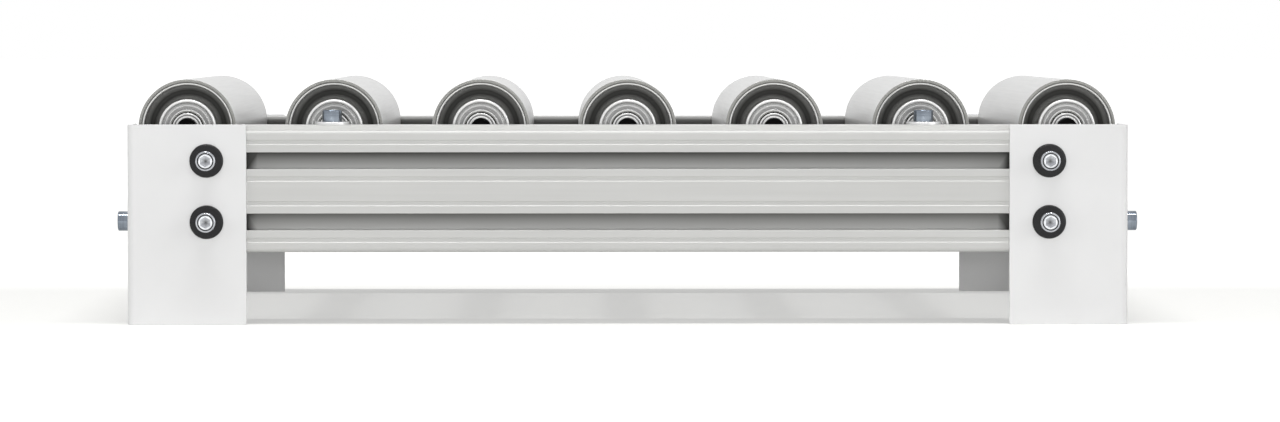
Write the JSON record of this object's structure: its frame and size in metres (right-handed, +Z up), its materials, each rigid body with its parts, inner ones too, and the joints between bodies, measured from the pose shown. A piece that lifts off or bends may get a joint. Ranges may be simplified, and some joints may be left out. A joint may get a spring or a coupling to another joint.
{
  "type": "roller track",
  "caption": "Short gravity roller track with free-running tube rollers in ball bearings between two slotted rails on angle legs.",
  "frame": {"origin": "on the floor, under the middle of the track", "axes": "+X along the track, +Y along the roller axles, +Z up"},
  "size_m": [0.517, 0.3406, 0.1235],
  "materials": {
    "anodised_aluminium": "satin natural anodised",
    "coated_leg_sheet": "light grey powder coat",
    "zinc_screw": "bright zinc",
    "zinc_washer": "bright zinc",
    "black_washer": "black, fine grain",
    "slot_nut_steel": "zinc plated",
    "roller_tube": "satin zinc plated tube",
    "pressed_cup": "pressed sheet",
    "bearing_steel": "ground",
    "ball_and_cage": "polished",
    "blackened_axle": "black oxide",
    "spring_steel": "phosphated"
  },
  "bodies": {
    "frame": {"rail_near": "anodised_aluminium", "rail_far": "anodised_aluminium", "carrier_near": "anodised_aluminium", "carrier_far": "anodised_aluminium", "cross_member_left": "anodised_aluminium", "cross_member_right": "anodised_aluminium", "leg_near_left": "coated_leg_sheet", "leg_near_right": "coated_leg_sheet", "leg_far_left": "coated_leg_sheet", "leg_far_right": "coated_leg_sheet", "leg_screws": "zinc_screw", "leg_washers": "black_washer", "leg_slot_nuts": "slot_nut_steel", "end_screws": "zinc_screw", "carrier_screws": "zinc_screw", "carrier_washers": "zinc_washer", "carrier_slot_nuts": "slot_nut_steel", "cross_screws": "zinc_screw", "bearing_inner_rings": "bearing_steel", "axle_clips": "spring_steel", "axle_1": "blackened_axle", "axle_2": "blackened_axle", "axle_3": "blackened_axle", "axle_4": "blackened_axle", "axle_5": "blackened_axle", "axle_6": "blackened_axle", "axle_7": "blackened_axle"},
    "roller_1": {"roller_tube_1": "roller_tube", "end_cups_1": "pressed_cup", "outer_rings_1": "bearing_steel"},
    "ball_set_1": {"ball_cages_1": "ball_and_cage"},
    "roller_2": {"roller_tube_2": "roller_tube", "end_cups_2": "pressed_cup", "outer_rings_2": "bearing_steel"},
    "ball_set_2": {"ball_cages_2": "ball_and_cage"},
    "roller_3": {"roller_tube_3": "roller_tube", "end_cups_3": "pressed_cup", "outer_rings_3": "bearing_steel"},
    "ball_set_3": {"ball_cages_3": "ball_and_cage"},
    "roller_4": {"roller_tube_4": "roller_tube", "end_cups_4": "pressed_cup", "outer_rings_4": "bearing_steel"},
    "ball_set_4": {"ball_cages_4": "ball_and_cage"},
    "roller_5": {"roller_tube_5": "roller_tube", "end_cups_5": "pressed_cup", "outer_rings_5": "bearing_steel"},
    "ball_set_5": {"ball_cages_5": "ball_and_cage"},
    "roller_6": {"roller_tube_6": "roller_tube", "end_cups_6": "pressed_cup", "outer_rings_6": "bearing_steel"},
    "ball_set_6": {"ball_cages_6": "ball_and_cage"},
    "roller_7": {"roller_tube_7": "roller_tube", "end_cups_7": "pressed_cup", "outer_rings_7": "bearing_steel"},
    "ball_set_7": {"ball_cages_7": "ball_and_cage"}
  },
  "joints": [
    {"name": "roller_1_spin", "type": "hinge", "parent": "frame", "child": "roller_1", "pos_m": [-0.225, 0, 0.0985], "axis": [0, 1, 0], "continuous": true},
    {"name": "roller_2_spin", "type": "hinge", "parent": "frame", "child": "roller_2", "pos_m": [-0.15, 0, 0.0985], "axis": [0, 1, 0], "continuous": true},
    {"name": "roller_3_spin", "type": "hinge", "parent": "frame", "child": "roller_3", "pos_m": [-0.075, 0, 0.0985], "axis": [0, 1, 0], "continuous": true},
    {"name": "roller_4_spin", "type": "hinge", "parent": "frame", "child": "roller_4", "pos_m": [0, 0, 0.0985], "axis": [0, 1, 0], "continuous": true},
    {"name": "roller_5_spin", "type": "hinge", "parent": "frame", "child": "roller_5", "pos_m": [0.075, 0, 0.0985], "axis": [0, 1, 0], "continuous": true},
    {"name": "roller_6_spin", "type": "hinge", "parent": "frame", "child": "roller_6", "pos_m": [0.15, 0, 0.0985], "axis": [0, 1, 0], "continuous": true},
    {"name": "roller_7_spin", "type": "hinge", "parent": "frame", "child": "roller_7", "pos_m": [0.225, 0, 0.0985], "axis": [0, 1, 0], "continuous": true},
    {"name": "ball_set_1_orbit", "type": "hinge", "parent": "frame", "child": "ball_set_1", "pos_m": [-0.225, 0, 0.0985], "axis": [0, 1, 0], "continuous": true},
    {"name": "ball_set_2_orbit", "type": "hinge", "parent": "frame", "child": "ball_set_2", "pos_m": [-0.15, 0, 0.0985], "axis": [0, 1, 0], "continuous": true},
    {"name": "ball_set_3_orbit", "type": "hinge", "parent": "frame", "child": "ball_set_3", "pos_m": [-0.075, 0, 0.0985], "axis": [0, 1, 0], "continuous": true},
    {"name": "ball_set_4_orbit", "type": "hinge", "parent": "frame", "child": "ball_set_4", "pos_m": [0, 0, 0.0985], "axis": [0, 1, 0], "continuous": true},
    {"name": "ball_set_5_orbit", "type": "hinge", "parent": "frame", "child": "ball_set_5", "pos_m": [0.075, 0, 0.0985], "axis": [0, 1, 0], "continuous": true},
    {"name": "ball_set_6_orbit", "type": "hinge", "parent": "frame", "child": "ball_set_6", "pos_m": [0.15, 0, 0.0985], "axis": [0, 1, 0], "continuous": true},
    {"name": "ball_set_7_orbit", "type": "hinge", "parent": "frame", "child": "ball_set_7", "pos_m": [0.225, 0, 0.0985], "axis": [0, 1, 0], "continuous": true}
  ],
  "couplings": [
    {"joint": "ball_set_1_orbit", "follows": "roller_1_spin", "ratio": 0.6333},
    {"joint": "ball_set_2_orbit", "follows": "roller_2_spin", "ratio": 0.6333},
    {"joint": "ball_set_3_orbit", "follows": "roller_3_spin", "ratio": 0.6333},
    {"joint": "ball_set_4_orbit", "follows": "roller_4_spin", "ratio": 0.6333},
    {"joint": "ball_set_5_orbit", "follows": "roller_5_spin", "ratio": 0.6333},
    {"joint": "ball_set_6_orbit", "follows": "roller_6_spin", "ratio": 0.6333},
    {"joint": "ball_set_7_orbit", "follows": "roller_7_spin", "ratio": 0.6333}
  ]
}
